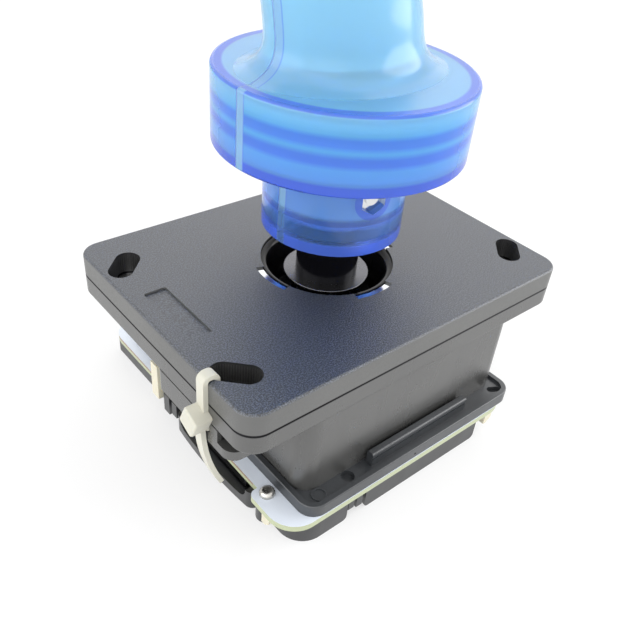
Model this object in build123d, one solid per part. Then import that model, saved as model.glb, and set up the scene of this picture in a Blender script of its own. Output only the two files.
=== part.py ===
import os
from math import cos, exp, pi, radians, sin, sqrt, tan
from build123d import *

os.makedirs("parts", exist_ok=True)

# Frame: millimetres, Z up, X along the long side of the plate, origin on the
# stick axis at the plate's top face.

# Screws and fits
M3_R = 1.5
M2_R = 1.0
HOLE_GAP = 0.2
PRESS_GAP = 0.02
PIN_PLAY = 0.05
FIT_GAP = 0.1
TIP_GAP = 0.3

# Top plate
PLATE_L = 96.0
PLATE_W = 70.0
PLATE_T = 5.5
PLATE_R = 5.0
PLATE_EDGE = 0.7
SLOT_IN_X = 6.0
SLOT_IN_Y = 12.5
SLOT_L = 10.8
SLOT_W = 5.7
PAD_IN = 3.9
PAD_W = 5.4
PAD_L = 19.1
PAD_SHIFT = 0.35
PAD_DEEP = 0.5
HOLE_R = 16.1
NOTCH_OUT = 2.0
NOTCH_DEG = 35.0
LIP_T = 0.5

# Steel ring under the plate's lip
RING_T = 1.2
RING_WIDE = 3.9

# Housing
FLANGE_T = 4.9
SEAM = 0.35
BOX_IN_X = 15.2
BOX_IN_Y = 0.6
BOX_R = 4.5
BOX_WALL = 2.5
BOX_DEEP = 21.4
POST_R = 3.7
POST_IN_X = 11.8
POST_IN_Y = 6.2
RIB_HALF = 1.2

# Block and shelf under the flange on the short side
BLOCK_Y0 = -25.0
BLOCK_Y1 = -1.8
BLOCK_DEEP = 5.6
BLOCK_WALL = 2.0
SHELF_OUT = 4.6
SHELF_T = 2.4
SHELF_R = 3.0

# Cable tie
TIE_W = 2.5
TIE_T = 1.1
TIE_IN_SLOT = 3.2
TIE_SLACK = 0.25
TIE_DROP = 2.5
TIE_HEAD_H = 5.4
TIE_HEAD_T = 3.9
TAIL_DROP = 21.2
TAIL_SWING = 4.55

# Tray under the housing
TRAY_OUT_X = 1.6
TRAY_OUT_Y = 5.2
TRAY_T = 2.4
TRAY_R = 4.2
RIM_W = 1.4
RIM_UP = 0.8
RAIL_X0 = -14.2
RAIL_X1 = 18.0
RAIL_W = 1.9
RAIL_IN = 2.6
RAIL_UP = 3.7
ROLL_UP = 1.3
GROOVE = 0.35
PINHOLE_X = -2.2
PINHOLE_R = 0.3
TRAY_HOLE_R = 14.0

# Board
PCB_T = 1.6
PCB_LEFT = 3.4
PCB_RIGHT = 0.9
PCB_FRONT = 0.2
PCB_BACK = 5.4
PCB_R = 7.0
EAR_OUT = 2.5
EAR_L = 14.5
CHIP_T = 0.9
SENSOR_W = 3.0
MAIN_CHIP = 10.0
MAIN_CHIP_Y = 6.0
SIDE_CHIP = 4.0
SIDE_CHIP_X = 10.0
SIDE_CHIP_Y = -8.0
HEADER_W = 6.5
HEADER_L = 16.0
HEADER_H = 3.8

# Nylon clips
CLIP_W = 2.6
CLIP_DEEP = 3.0
CLIP_CUT = 1.4
CLIP_WALL = 1.3
CLIP_ARM = 5.0

# Lower pan
PAN_DEEP = 5.7
PAN_FLOOR = 1.5
PAN_IN = 0.2
PAN_R = 6.3
BUCKET_OUT = 2.4
BUCKET_IN = 14.4
BUCKET_L = 32.4
SILL_UP = 2.9
HEAD_WELL = 2.6

# Tilt mechanism
PIVOT_DEEP = 16.0
TILT = 11.0
CARRIER_BORE = 14.3
CARRIER_R = 19.8
CARRIER_DEEP = 10.8
EAR_IN = 5.9
EAR_T = 2.0
BALL_GAP = 0.5
GIMBAL_H = 4.5
HUB_R = 8.8
HUB_GAP = 0.3
HUB_H = 5.0
HUB_NECK = 6.5
PIN_L = 5.5
PIN_R = 1.5
GATE_T = 2.0
GATE_GAP = 0.44
GROMMET_T = 3.5
GROMMET_LIP = 1.2

# Stick
SHAFT_R = 4.0
SHAFT_UP = 1.7
SPIGOT_R = 2.0
SPIGOT_L = 2.0
SLEEVE_R = 7.5
WASHER_R = 10.5
WASHER_T = 0.8
WASHER_DROP = 2.0
CUP_L = 4.1
MAGNET_R = 2.5
MAGNET_T = 2.0
MAGNET_GAP = 1.8

# Grip: collar, disc and handle
GRIP_TURN = 2.0
WALL = 2.4
COLLAR_R = 16.3
COLLAR_UP = 10.3
COLLAR_H = 19.9
COLLAR_BAND = 2.7
COLLAR_WEB = 6.4
WEB_T = 1.9
DISC_R = 27.8
DISC_H = 16.1
DISC_FLOOR = 2.3
BAND_UP = 6.0
BAND_T = 2.3
BAND_STEP = 4.0
BAND_DEEP = 3.4
SEAM_GAP = 0.05
CEILING = 2.2
HANDLE_H = 91.7
DOME_H = 17.0
LEAN = 8.6
LEAN_RUN = 40.0
HALF_LENGTH = 16.7
HALF_WIDTH = 12.8
PALM = 1.2
PALM_UP = 15.7
PALM_DOWN = 10.0
FLARE = 5.6
FLARE_RUN = 1.9
HANDLE_WEB = 2.8
NECK_R = 11.5
GRIP_POSTS = ((-8.5, -5.8), (1.3, -8.2))
GRIP_POST_TOP = 13.9
GRIP_POST_R = 0.9

# Cross screw and nut through the collar
NUT_DEG = -101.0
NUT_UP = 13.0
NUT_AF = 5.5
NUT_T = 2.4
NUT_DEEP = 3.9
NUT_BOSS_R = 4.4
NUT_BOSS_L = 3.0
HEAD_R = 2.75
HEAD_T = 2.5
HEAD_DEEP = 2.9
KEY_AF = 2.5

# Levels and places that follow from the sizes above
SLOT_X = PLATE_L / 2 - SLOT_IN_X
SLOT_Y = PLATE_W / 2 - SLOT_IN_Y
BOX_X = PLATE_L / 2 - BOX_IN_X
BOX_Y = PLATE_W / 2 - BOX_IN_Y
RING_R = HOLE_R + RING_WIDE
DECK_Z = -PLATE_T - FLANGE_T
FLOOR_Z = DECK_Z - BOX_DEEP
POST_X = BOX_X - POST_IN_X
POST_Y = BOX_Y - POST_IN_Y
BLOCK_Z = DECK_Z - BLOCK_DEEP
SHELF_Y = BLOCK_Y0 - SHELF_OUT
TIE_X0 = -PLATE_L / 2 - TIE_T
TIE_X1 = -SLOT_X - TIE_IN_SLOT
TIE_Y0 = -SLOT_Y + 0.55
TIE_Y1 = TIE_Y0 + TIE_W
TIE_Z0 = DECK_Z - TIE_DROP
TIE_Z1 = TIE_T + TIE_SLACK
TRAY_X = BOX_X + TRAY_OUT_X
TRAY_Y = BOX_Y + TRAY_OUT_Y
TRAY_Z = FLOOR_Z - TRAY_T
RAIL_Y = TRAY_Y - RAIL_IN
PCB_X0 = -TRAY_X - PCB_LEFT
PCB_X1 = TRAY_X - PCB_RIGHT
PCB_TOP = TRAY_Z
PCB_BOT = PCB_TOP - PCB_T
PCB_Y0 = -TRAY_Y - PCB_FRONT
PCB_Y1 = TRAY_Y + PCB_BACK
PCB_EAR_X = PCB_X0 - EAR_OUT
EAR_Y = PCB_Y0 + EAR_L
PAN_Z = PCB_BOT - PAN_DEEP
PAN_X = PCB_X0 + 0.5
PAN_Y = PCB_Y0 + PAN_IN
BUCKET_X = PCB_X0 - BUCKET_OUT
BUCKET_Y0 = PCB_Y0 + BUCKET_IN
BUCKET_Y1 = BUCKET_Y0 + BUCKET_L
BUCKET_MID = (BUCKET_Y0 + BUCKET_Y1) / 2
SILL_Z = PAN_Z + SILL_UP
PIVOT_Z = -PIVOT_DEEP
CARRIER_TOP = -LIP_T - RING_T
CARRIER_BOT = PIVOT_Z - CARRIER_DEEP
EAR_R = BOX_Y - BOX_WALL - EAR_IN
GIMBAL_R = CARRIER_BORE - BALL_GAP
GIMBAL_BORE = HUB_R + HUB_GAP
GIMBAL_PIN_IN = GIMBAL_R - 2.4
GIMBAL_PIN_OUT = GIMBAL_PIN_IN + PIN_L
HUB_PIN_IN = HUB_R - 1.9
GATE_BOT = CARRIER_BOT - GATE_T
GATE_HALF = SHAFT_R / cos(radians(TILT)) + (PIVOT_Z - GATE_BOT) * tan(radians(TILT)) + GATE_GAP
GROMMET_TOP = CARRIER_BOT + GROMMET_T
CUP_BOT = PCB_TOP + CHIP_T + MAGNET_GAP
SHAFT_BOT = CUP_BOT + CUP_L
WASHER_Z = CARRIER_TOP - WASHER_DROP
COLLAR_Z = COLLAR_UP
DISC_Z0 = COLLAR_Z + COLLAR_H
DISC_Z1 = DISC_Z0 + DISC_H
SHAFT_TOP = DISC_Z1 + SHAFT_UP
HANDLE_TOP = DISC_Z1 + HANDLE_H
DOME_Z = HANDLE_TOP - DOME_H
NUT_Z = COLLAR_Z + NUT_UP
NUT_SEAT = COLLAR_R - NUT_DEEP
HEAD_SEAT = COLLAR_R - HEAD_DEEP

# Screw places and lengths
PLATE_SCREW_X = 10.0
PLATE_SCREW_Y = BOX_Y - BOX_WALL - 3.1
PLATE_SCREW_L = 7.0
CARRIER_SCREW_C = (CARRIER_R + EAR_R) / 2 * cos(pi / 4)
CARRIER_SCREW_L = 6.0
GATE_SCREW_C = (CARRIER_BORE + CARRIER_R) / 2 * cos(pi / 4)
GATE_SCREW_L = 5.5
BASE_HEAD_Z = PAN_Z + HEAD_WELL
BASE_SCREW_L = 15.0
PCB_SCREW_L = 5.5
CORNERS = [(1, 1), (-1, 1), (-1, -1), (1, -1)]
PLATE_SCREWS = [(sx * PLATE_SCREW_X, sy * PLATE_SCREW_Y) for sx, sy in CORNERS]
CARRIER_SCREWS = [(sx * CARRIER_SCREW_C, sy * CARRIER_SCREW_C) for sx, sy in CORNERS]
GATE_SCREWS = [(sx * GATE_SCREW_C, sy * GATE_SCREW_C) for sx, sy in CORNERS]
BASE_SCREWS = [(sx * POST_X, sy * POST_Y) for sx, sy in CORNERS]
PCB_SCREWS = [(PCB_EAR_X + 3.4, EAR_Y - 2.5), (PCB_X0 + 8.8, PCB_Y1 - 2.8), (PCB_X1 - 13.5, PCB_Y1 - 2.8)]


def block(x0, x1, y0, y1, z0, z1, r=0.0):
    w = x1 - x0
    d = y1 - y0
    face = RectangleRounded(w, d, r) if r > 0 else Rectangle(w, d)
    return extrude(Pos((x0 + x1) / 2, (y0 + y1) / 2, z0) * face, z1 - z0)


def rod(x, y, z0, z1, r):
    return extrude(Pos(x, y, z0) * Circle(r), z1 - z0)


def upright_edges(body, x, y):
    return body.edges().filter_by(Axis.Z).filter_by(
        lambda e: abs(e.center().X - x) < 0.01 and abs(e.center().Y - y) < 0.01)


# Slots in the plate's four corners, each aimed at 45 degrees
def slot_cut(z0, z1):
    cuts = []
    for sx, sy in CORNERS:
        turn = 45 if sx * sy < 0 else -45
        cuts.append(extrude(Pos(sx * SLOT_X, sy * SLOT_Y, z0) * Rot(0, 0, turn) * SlotOverall(SLOT_L, SLOT_W),
                            z1 - z0))
    return cuts


# Screw whose head sits on the face at seat: a pan head with a cross recess when
# it points down, a plain round head when it points up
def pan_screw(x, y, seat, length, r=M3_R, head_down=True):
    out = -1 if head_down else 1
    head_r = 1.85 * r
    head_h = 1.35 * r
    head = rod(x, y, min(seat, seat + out * head_h), max(seat, seat + out * head_h), head_r)
    head = fillet(head.edges().group_by(Axis.Z)[0 if head_down else -1], 0.45 * r if head_down else 0.9 * head_h)
    bar = 0.18 * r
    deep = seat + out * 0.6 * head_h
    far = seat + out * head_h
    recess = block(x - r, x + r, y - bar, y + bar, min(deep, far), max(deep, far))
    recess += block(x - bar, x + bar, y - r, y + r, min(deep, far), max(deep, far))
    tip = seat - out * length
    body = head + rod(x, y, min(seat, tip), max(seat, tip), r)
    return body - recess if head_down else body


def screws(places, seat, length, r=M3_R, head_down=True):
    return Compound([pan_screw(x, y, seat, length, r, head_down).solid() for x, y in places])


def top_plate():
    body = block(-PLATE_L / 2, PLATE_L / 2, -PLATE_W / 2, PLATE_W / 2, -PLATE_T, 0, PLATE_R)
    body = fillet(body.edges().group_by(Axis.Z)[-1], PLATE_EDGE)
    body = chamfer(body.edges().group_by(Axis.Z)[0], SEAM / 2)
    for cut in slot_cut(-PLATE_T - 1, 1):
        body -= cut
    body -= rod(0, 0, -PLATE_T - 1, 1, HOLE_R)
    body -= rod(0, 0, -PLATE_T - 1, -LIP_T, RING_R)
    reach = 2 * (HOLE_R + NOTCH_OUT)
    spread = reach * tan(radians(NOTCH_DEG / 2))
    for k in range(4):
        wedge = make_face(Polyline((0, 0), (reach, -spread), (reach, spread), (0, 0)))
        sector = extrude(Pos(0, 0, -LIP_T - 0.5) * Rot(0, 0, 90 * k) * wedge, LIP_T + 1)
        body -= sector & rod(0, 0, -LIP_T - 0.5, 1, HOLE_R + NOTCH_OUT)
    pad_x = -PLATE_L / 2 + PAD_IN
    body -= block(pad_x, pad_x + PAD_W, PAD_SHIFT - PAD_L / 2, PAD_SHIFT + PAD_L / 2, -PAD_DEEP, 1, 0.6)
    for x, y in PLATE_SCREWS:
        body -= rod(x, y, -PLATE_T - 1, DECK_Z + PLATE_SCREW_L + TIP_GAP, M3_R)
    return body


def lock_ring():
    ring = rod(0, 0, CARRIER_TOP, -LIP_T, RING_R - FIT_GAP) - rod(0, 0, CARRIER_TOP - 1, 0, HOLE_R + FIT_GAP)
    return chamfer(ring.edges().group_by(Axis.Z)[-1].sort_by(SortBy.RADIUS)[0], 0.25)


def side_block():
    out = -PLATE_L / 2
    body = block(out, -BOX_X + 1, BLOCK_Y0, BLOCK_Y1, BLOCK_Z, DECK_Z)
    body += block(out, -BOX_X + 1, SHELF_Y, BLOCK_Y1, BLOCK_Z, BLOCK_Z + SHELF_T)
    body = fillet(upright_edges(body, out, SHELF_Y), SHELF_R)
    body = fillet(upright_edges(body, out, BLOCK_Y1), 1.5)
    body -= block(out + BLOCK_WALL, -BOX_X, BLOCK_Y0 - 1, BLOCK_Y1 - BLOCK_WALL, BLOCK_Z + SHELF_T, DECK_Z + 0.01)
    body -= block(out + BLOCK_WALL, -BOX_X - 2, BLOCK_Y0 + 1.5, BLOCK_Y1 - BLOCK_WALL,
                  BLOCK_Z - 1, BLOCK_Z + SHELF_T + 1, 2)
    body -= block(out - 1, out + BLOCK_WALL + 0.5, TIE_Y0 - TIP_GAP, TIE_Y1 + TIP_GAP,
                  TIE_Z0 - TIP_GAP, DECK_Z + 0.01)
    return body


def housing():
    flange = block(-PLATE_L / 2, PLATE_L / 2, -PLATE_W / 2, PLATE_W / 2, DECK_Z, -PLATE_T, PLATE_R)
    flange = chamfer(flange.edges().group_by(Axis.Z)[-1], SEAM / 2)
    flange = fillet(flange.edges().group_by(Axis.Z)[0], 0.5)
    walls = block(-BOX_X, BOX_X, -BOX_Y, BOX_Y, FLOOR_Z, DECK_Z, BOX_R)
    walls -= block(-BOX_X + BOX_WALL, BOX_X - BOX_WALL, -BOX_Y + BOX_WALL, BOX_Y - BOX_WALL,
                   FLOOR_Z - 1, DECK_Z, BOX_R - BOX_WALL)
    body = flange + walls
    for x, y in BASE_SCREWS:
        y0, y1 = (y, BOX_Y - 1) if y > 0 else (-BOX_Y + 1, y)
        body += rod(x, y, FLOOR_Z, DECK_Z, POST_R)
        body += block(x - RIB_HALF, x + RIB_HALF, y0, y1, FLOOR_Z, DECK_Z)
    body += side_block()
    for cut in slot_cut(DECK_Z - 1, -PLATE_T + 1):
        body -= cut
    body -= rod(0, 0, DECK_Z - 1, -PLATE_T + 1, RING_R)
    for x, y in PLATE_SCREWS:
        body -= rod(x, y, DECK_Z - 1, -PLATE_T + 1, M3_R)
    for x, y in CARRIER_SCREWS:
        body -= rod(x, y, DECK_Z - 1, DECK_Z + CARRIER_SCREW_L - EAR_T + TIP_GAP, M3_R)
    for x, y in BASE_SCREWS:
        body -= rod(x, y, FLOOR_Z - 1, BASE_HEAD_Z + BASE_SCREW_L + TIP_GAP, M3_R)
    return body


# A face drawn in X and Z, given its thickness along Y
def on_side(face, y0, y1):
    plane = Plane(origin=(0, y1, 0), x_dir=(1, 0, 0), z_dir=(0, -1, 0))
    return extrude(plane * face, y1 - y0)


def cable_tie():
    w = TIE_X1 - TIE_X0
    h = TIE_Z1 - TIE_Z0
    mid = Pos((TIE_X0 + TIE_X1) / 2, (TIE_Z0 + TIE_Z1) / 2)
    hoop = mid * RectangleRounded(w, h, TIE_T + 0.6)
    hoop -= mid * RectangleRounded(w - 2 * TIE_T, h - 2 * TIE_T, 0.6)
    loop = on_side(hoop, TIE_Y0, TIE_Y1)
    edge = -PLATE_L / 2 - TIE_T - 0.35
    start = TIE_DROP - 0.9
    outer_line = []
    inner_line = []
    for f in (0, 0.25, 0.5, 0.75, 1.0):
        x, z = edge + TAIL_SWING * f * f, DECK_Z - start - (TAIL_DROP - start) * f
        lean = Vector(TAIL_DROP - start, 2 * TAIL_SWING * f).normalized() * TIE_T
        outer_line.append((x, z))
        inner_line.insert(0, (x + lean.X, z + lean.Y))
    tail = make_face(Wire([Spline(*outer_line), Line(outer_line[-1], inner_line[0]), Spline(*inner_line),
                           Line(inner_line[-1], outer_line[0])]))
    tail = on_side(tail, TIE_Y0 + 0.6, TIE_Y1 + 0.6)
    head = Box(TIE_HEAD_T, TIE_W + 2.3, TIE_HEAD_H)
    head = Pos(-PLATE_L / 2 - 2.0, (TIE_Y0 + TIE_Y1) / 2 + 0.3, DECK_Z + 0.8) * Rot(24, 0, 0) * head
    head = fillet(head.edges().filter_by(Axis.X), 0.6)
    head = fillet(head.faces().sort_by(Axis.X)[0].edges(), 0.5)
    return loop + tail + head


def base_tray():
    body = block(-TRAY_X, TRAY_X, -TRAY_Y, TRAY_Y, TRAY_Z, FLOOR_Z + RIM_UP, TRAY_R)
    body = fillet(body.edges().group_by(Axis.Z)[-1], 0.3)
    body -= block(-TRAY_X + RIM_W, TRAY_X - RIM_W, -TRAY_Y + RIM_W, TRAY_Y - RIM_W,
                  FLOOR_Z, FLOOR_Z + RIM_UP + 1, TRAY_R - RIM_W)
    ledge = (BOX_Y + TRAY_Y - RIM_W) / 2
    for side in (-1, 1):
        y0, y1 = sorted((side * RAIL_Y, side * (RAIL_Y - RAIL_W)))
        rail = block(RAIL_X0, RAIL_X1, y0, y1, FLOOR_Z, FLOOR_Z + RAIL_UP)
        rail = fillet(rail.edges().group_by(Axis.Z)[-1].filter_by(Axis.X), 0.5)
        g0, g1 = sorted((side * (RAIL_Y - GROOVE), side * (RAIL_Y + 1)))
        roll_z = FLOOR_Z + RAIL_UP - ROLL_UP
        body += rail - block(RAIL_X0 - 1, RAIL_X1 + 1, g0, g1, roll_z - GROOVE, roll_z)
        mark_x = -TRAY_X + 5.2
        body += rod(mark_x, side * ledge, FLOOR_Z, FLOOR_Z + 0.3, 1.85) - rod(mark_x, side * ledge, FLOOR_Z, 0, 1.4)
        body -= rod(-POST_X + 0.4, side * (ledge - 0.3), FLOOR_Z - 1.4, FLOOR_Z + 1, 1.6)
        pocket = Pos(TRAY_X - 4.0, side * (ledge + 0.3), FLOOR_Z - 1.2) * Rot(0, 0, side * 28)
        body -= extrude(pocket * SlotOverall(3.8, 1.9), 3)
    body -= Pos(PINHOLE_X, -TRAY_Y, (TRAY_Z + FLOOR_Z) / 2) * Rot(90, 0, 0) * Cylinder(PINHOLE_R, 1.6)
    body -= rod(0, 0, TRAY_Z - 1, FLOOR_Z + 1, TRAY_HOLE_R)
    for x, y in BASE_SCREWS:
        body -= rod(x, y, TRAY_Z - 1, FLOOR_Z + 1, M3_R + HOLE_GAP)
    return body


def control_board():
    outline = Polyline(
        (PCB_X0, EAR_Y), (PCB_X0, PCB_Y1), (PCB_X1, PCB_Y1), (PCB_X1, PCB_Y0), (PCB_EAR_X, PCB_Y0),
        (PCB_EAR_X, EAR_Y), (PCB_X0, EAR_Y))
    body = extrude(Pos(0, 0, PCB_BOT) * make_face(outline), PCB_T)
    for x, y in ((PCB_EAR_X, PCB_Y0), (PCB_X1, PCB_Y0), (PCB_X0, PCB_Y1), (PCB_X1, PCB_Y1)):
        body = fillet(upright_edges(body, x, y), PCB_R)
    body = fillet(upright_edges(body, PCB_EAR_X, EAR_Y), 0.7 * EAR_OUT)
    for x, y in BASE_SCREWS:
        body -= rod(x, y, PCB_BOT - 1, PCB_TOP + 1, M3_R + HOLE_GAP)
    for x, y in PCB_SCREWS:
        body -= rod(x, y, PCB_BOT - 1, PCB_TOP + 1, M2_R)
    return body


def tilt_sensor():
    half = SENSOR_W / 2
    return block(-half, half, -half, half, PCB_TOP, PCB_TOP + CHIP_T)


def board_chips():
    half = MAIN_CHIP / 2
    main = block(-half, half, MAIN_CHIP_Y, MAIN_CHIP_Y + MAIN_CHIP, PCB_BOT - 1.5 * CHIP_T, PCB_BOT)
    side = block(SIDE_CHIP_X, SIDE_CHIP_X + SIDE_CHIP, SIDE_CHIP_Y, SIDE_CHIP_Y + SIDE_CHIP, PCB_BOT - CHIP_T, PCB_BOT)
    return Compound([main, side])


def wire_header():
    x0 = PCB_X0 + 0.8
    y0 = BUCKET_Y0 + 5.4
    shell = block(x0, x0 + HEADER_W, y0, y0 + HEADER_L, PCB_BOT - HEADER_H, PCB_BOT)
    shell -= block(x0 - 1, x0 + HEADER_W - 1, y0 + 0.8, y0 + HEADER_L - 0.8,
                   PCB_BOT - HEADER_H + 0.8, PCB_BOT - 0.8)
    for k in range(5):
        y = y0 + 3.0 + 2.5 * k
        shell += block(x0 + 1.0, x0 + 5.8, y - 0.3, y + 0.3, PCB_BOT - 2.2, PCB_BOT - 1.6)
    return shell


# Lower pan: a shallow tray with a corner block, a front bar, two ribs and a
# bowed bucket whose window opens over the wire header
def lower_pan():
    core = block(PCB_X0 + 7.3, PCB_X1 - 9.0, PAN_Y + 6.6, PCB_Y1 - 1.0, PAN_Z, PCB_BOT, 3.0)
    front_x = PAN_X + 14.4
    front = block(PAN_X, front_x, PAN_Y, BUCKET_Y0 + 1.4, PAN_Z, PCB_BOT)
    front = fillet(upright_edges(front, PAN_X, PAN_Y), PAN_R)
    low = front.edges().filter_by(Axis.Y).filter_by(
        lambda e: abs(e.center().X - front_x) < 0.01 and abs(e.center().Z - PAN_Z) < 0.01)
    front = fillet(low, 1.2)
    bar = block(front_x + 5.5, PCB_X1 - 12.3, PAN_Y, PAN_Y + 7.6, PAN_Z, PCB_BOT)
    ends = bar.edges().filter_by(Axis.Y).filter_by(lambda e: abs(e.center().Z - PAN_Z) < 0.01)
    bar = fillet(ends, 1.2)
    ribs = block(front_x + 0.3, front_x + 2.0, PAN_Y + 0.1, PAN_Y + 7.6, PCB_BOT - 3.0, PCB_BOT)
    ribs += block(front_x + 2.8, front_x + 4.6, PAN_Y + 0.1, PAN_Y + 7.6, PCB_BOT - 3.8, PCB_BOT)
    side_x = BUCKET_X + 0.9
    bow = make_face(Wire([
        Line((PCB_X0 + 8.8, BUCKET_Y0), (side_x, BUCKET_Y0)),
        ThreePointArc((side_x, BUCKET_Y0), (BUCKET_X - 0.1, BUCKET_MID), (side_x, BUCKET_Y1)),
        Line((side_x, BUCKET_Y1), (PCB_X0 + 8.8, BUCKET_Y1)),
        Line((PCB_X0 + 8.8, BUCKET_Y1), (PCB_X0 + 8.8, BUCKET_Y0))]))
    bucket = extrude(Pos(0, 0, PAN_Z) * bow, PAN_DEEP)
    ends = bucket.edges().filter_by(Axis.Z).filter_by(lambda e: abs(e.center().X - side_x) < 0.01)
    bucket = fillet(ends, 2.2)
    bucket = fillet(bucket.edges().group_by(Axis.Z)[0], 0.8)
    back = block(PCB_X0 + 1.3, PCB_X0 + 8.8, BUCKET_Y1 - 2, PCB_Y1 - 1.0, PAN_Z, PCB_BOT, 2.0)
    fingers = block(PCB_X0 - 0.6, PCB_X0 + 2.8, BUCKET_Y1 + 5.0, BUCKET_Y1 + 7.6, PAN_Z, PCB_BOT)
    fingers += block(PCB_X0 - 0.6, PCB_X0 + 2.8, BUCKET_Y1 + 1.4, BUCKET_Y1 + 3.6, PAN_Z + 1.5, PCB_BOT)
    boss = rod(PCB_SCREWS[0][0], PCB_SCREWS[0][1], PAN_Z, PCB_BOT, 2.4)
    body = core + front + bar + ribs + bucket + back + fingers + boss
    cavity = block(PCB_X0 + 9.3, PCB_X1 - 11.0, PAN_Y + 8.6, PCB_Y1 - 5.5, PAN_Z + PAN_FLOOR, PCB_BOT + 1, 2.0)
    cavity += block(BUCKET_X + 2.2, PCB_X0 + 10.8, BUCKET_Y0 + 2.0, BUCKET_Y1 - 2.0,
                    PAN_Z + PAN_FLOOR, PCB_BOT + 1, 1.5)
    body -= cavity
    window_h = PCB_BOT + 3 - SILL_Z
    window = Pos(0, SILL_Z + window_h / 2) * RectangleRounded(BUCKET_Y1 - BUCKET_Y0 - 4.4, window_h, 2.4)
    plane = Plane(origin=(BUCKET_X - 2, BUCKET_MID, 0), x_dir=(0, 1, 0), z_dir=(1, 0, 0))
    body -= extrude(plane * window, 5.0)
    for x, y in BASE_SCREWS:
        body += rod(x, y, PAN_Z, PCB_BOT, 2.8 * M3_R)
        body -= rod(x, y, PAN_Z - 1, BASE_HEAD_Z, 1.85 * M3_R + HOLE_GAP)
        body -= rod(x, y, PAN_Z - 1, PCB_BOT + 1, M3_R + HOLE_GAP)
    for x, y in PCB_SCREWS:
        body -= rod(x, y, PCB_TOP - PCB_SCREW_L - HOLE_GAP, PCB_BOT + 1, M2_R)
    return body


def nylon_clips():
    y0 = PAN_Y + PAN_R + 0.4
    front = block(PCB_EAR_X + 0.2, PAN_X, y0, y0 + CLIP_W, PCB_BOT - CLIP_DEEP, PCB_BOT)
    front = chamfer(front.edges().filter_by(Axis.X).group_by(Axis.Z)[0].sort_by(Axis.Y)[0], CLIP_CUT)
    x0 = PCB_X1 - PCB_R - 1.8
    right = block(x0, x0 + CLIP_W, PCB_Y0 + 0.1, PAN_Y + PAN_R, PCB_BOT - CLIP_DEEP, PCB_BOT)
    right = chamfer(right.edges().filter_by(Axis.Y).group_by(Axis.Z)[0].sort_by(Axis.X)[-1], CLIP_CUT)
    y0 = BUCKET_Y1 + 9.0
    y1 = y0 + CLIP_W + 0.6
    out = PCB_X0 - CLIP_WALL
    left = block(out, PCB_X0 + CLIP_WALL, y0, y1, PCB_BOT - CLIP_DEEP, PCB_TOP + CLIP_WALL)
    left += block(PCB_X0, PCB_X0 + 2.0, y0, y1, PCB_TOP, PCB_TOP + CLIP_WALL)
    left -= block(PCB_X0, PCB_X0 + 3, y0 - 1, y1 + 1, PCB_BOT, PCB_TOP)
    left += block(out, PCB_X0 - FIT_GAP, y0, y1, PCB_TOP + CLIP_WALL, PCB_TOP + CLIP_WALL + CLIP_ARM)
    return Compound([front, right, left])


def gimbal_carrier():
    body = rod(0, 0, CARRIER_BOT, CARRIER_TOP, CARRIER_R) + rod(0, 0, CARRIER_TOP - 1, -LIP_T, HOLE_R)
    body += rod(0, 0, DECK_Z - EAR_T, DECK_Z, EAR_R)
    body -= rod(0, 0, CARRIER_BOT - 1, 1, CARRIER_BORE)
    rim = body.edges().filter_by(GeomType.CIRCLE).filter_by(
        lambda e: abs(e.center().Z + LIP_T) < 0.01 and abs(e.radius - CARRIER_BORE) < 0.01)
    body = fillet(rim, 0.9 * (HOLE_R - CARRIER_BORE))
    body -= Pos(0, 0, PIVOT_Z) * Rot(0, 90, 0) * Cylinder(PIN_R + PIN_PLAY, 2 * (GIMBAL_PIN_OUT + TIP_GAP))
    for x, y in CARRIER_SCREWS:
        body -= rod(x, y, DECK_Z - EAR_T - 1, DECK_Z + 1, M3_R + FIT_GAP)
        body -= rod(x, y, DECK_Z - EAR_T - 3, DECK_Z - EAR_T, 1.85 * M3_R + HOLE_GAP)
    for x, y in GATE_SCREWS:
        body -= rod(x, y, CARRIER_BOT - 1, GATE_BOT + GATE_SCREW_L + TIP_GAP, M2_R)
    return body


# A ball cut flat above and below the pivot
def ball_band(radius, half):
    ball = Pos(0, 0, PIVOT_Z) * Sphere(radius)
    return ball & block(-2 * radius, 2 * radius, -2 * radius, 2 * radius, PIVOT_Z - half, PIVOT_Z + half)


# Gimbal ring: pins along X carry it in the carrier, pins along Y carry the hub
def gimbal_ring():
    body = ball_band(GIMBAL_R, GIMBAL_H) - rod(0, 0, PIVOT_Z - HUB_R, PIVOT_Z + HUB_R, GIMBAL_BORE)
    body -= Pos(0, 0, PIVOT_Z) * Rot(0, 90, 0) * Cylinder(PIN_R, 3 * GIMBAL_R)
    body -= Pos(0, 0, PIVOT_Z) * Rot(90, 0, 0) * Cylinder(PIN_R, 2 * (HUB_PIN_IN + PIN_L))
    return body


def pivot_pins():
    pins = []
    for side in (-1, 1):
        pins.append(Pos(side * (GIMBAL_PIN_IN + PIN_L / 2), 0, PIVOT_Z) * Rot(0, 90, 0) * Cylinder(PIN_R, PIN_L))
        pins.append(Pos(0, side * (HUB_PIN_IN + PIN_L / 2), PIVOT_Z) * Rot(90, 0, 0) * Cylinder(PIN_R, PIN_L))
    return Compound([p.solid() for p in pins])


def stick_hub():
    body = ball_band(HUB_R, HUB_H)
    body += rod(0, 0, PIVOT_Z, WASHER_Z, HUB_NECK)
    body -= rod(0, 0, PIVOT_Z - HUB_R, 0, SHAFT_R)
    for side in (-1, 1):
        body -= (Pos(0, side * (HUB_PIN_IN - TIP_GAP + 5), PIVOT_Z) * Rot(90, 0, 0)
                 * Cylinder(PIN_R + PIN_PLAY, 10))
    return body


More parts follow.
